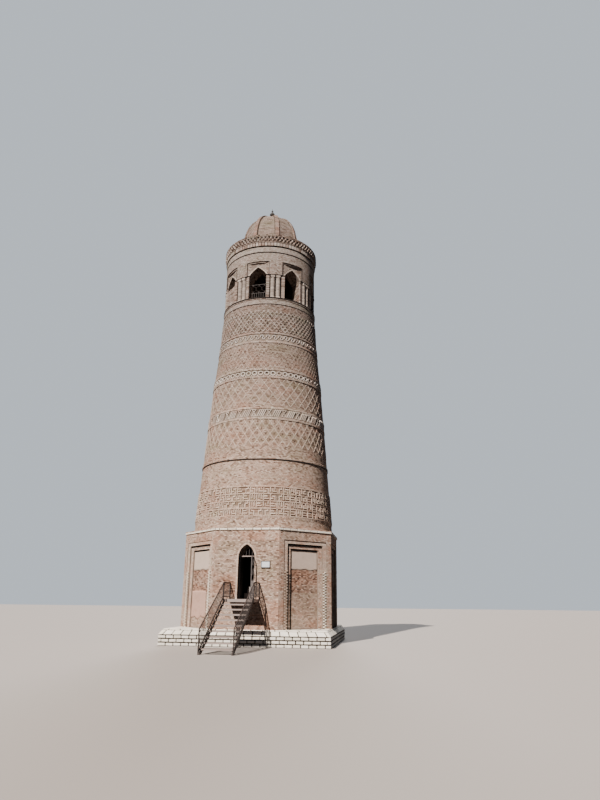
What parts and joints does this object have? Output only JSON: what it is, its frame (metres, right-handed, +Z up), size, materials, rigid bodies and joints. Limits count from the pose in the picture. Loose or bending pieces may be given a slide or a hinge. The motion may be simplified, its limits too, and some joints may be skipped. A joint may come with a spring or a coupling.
{
  "type": "brick minaret",
  "caption": "Brick minaret on a stepped plinth: octagonal base with blind niches, tapering ornamented shaft, arched lantern, ribbed dome, barred door gate and steel entrance stair.",
  "frame": {"origin": "on the tower's vertical axis at ground level, on the plinth's underside", "axes": "+Z up, the doorway and the stair face -Y, +X to the right of someone facing the door from outside"},
  "size_m": [8.86, 13.5803, 29.03],
  "materials": {
    "brickwork": "weathered fired brick in lime mortar",
    "pale_brickwork": "lighter fired brick in lime mortar",
    "pale_stone": "dressed pale stone",
    "whitewashed_stone": "whitewashed stone blocks",
    "floor_mortar": "rough lime mortar",
    "painted_steel": "dark brown paint, dulled",
    "grey_steel": "light grey paint, dulled",
    "finial_metal": "dark weathered metal",
    "plaque_face": "plain pale enamel"
  },
  "bodies": {
    "tower": {"plinth_block": "whitewashed_stone", "plinth_coping": "whitewashed_stone", "base_wall_right_front": "brickwork", "base_wall_right": "brickwork", "base_wall_right_back": "brickwork", "base_wall_back": "brickwork", "base_wall_left_back": "brickwork", "base_wall_left": "brickwork", "base_wall_left_front": "brickwork", "door_wall_left": "brickwork", "door_wall_right": "brickwork", "door_wall_under_sill": "brickwork", "door_wall_arch": "brickwork", "base_floor": "floor_mortar", "inner_steps": "pale_stone", "string_course": "pale_stone", "shaft_fret_band": "brickwork", "shaft_belt_course": "pale_brickwork", "shaft_lozenge_band": "brickwork", "shaft_slant_belt": "pale_brickwork", "shaft_lattice_band": "brickwork", "shaft_ring_belt": "pale_brickwork", "shaft_weave_band": "brickwork", "shaft_scroll_belt": "pale_brickwork", "shaft_herringbone_band": "brickwork", "lantern_base": "brickwork", "lantern_sill": "pale_brickwork", "lantern_floor": "floor_mortar", "lantern_pier_1": "brickwork", "lantern_pier_2": "brickwork", "lantern_pier_3": "brickwork", "lantern_pier_4": "brickwork", "lantern_pier_5": "brickwork", "lantern_pier_6": "brickwork", "lantern_pier_7": "brickwork", "lantern_pier_8": "brickwork", "lantern_arch_ring": "brickwork", "lantern_arch_infill": "pale_brickwork", "lantern_railing": "painted_steel", "cornice": "pale_brickwork", "cornice_crown": "brickwork", "roof_deck": "floor_mortar", "dome": "brickwork", "dome_finial": "finial_metal", "door_frame": "grey_steel", "plaque": "plaque_face", "stair_landing": "painted_steel", "stair_flight": "painted_steel", "landing_balustrade_left": "painted_steel", "flight_balustrade_left": "painted_steel", "landing_balustrade_right": "painted_steel", "flight_balustrade_right": "painted_steel"},
    "gate": {"gate_leaf": "grey_steel"}
  },
  "joints": [
    {"name": "gate_hinge", "type": "hinge", "parent": "tower", "child": "gate", "pos_m": [0.41, -3.985, 3.36], "axis": [0, 0, 1], "range_deg": [-90, 0]}
  ]
}
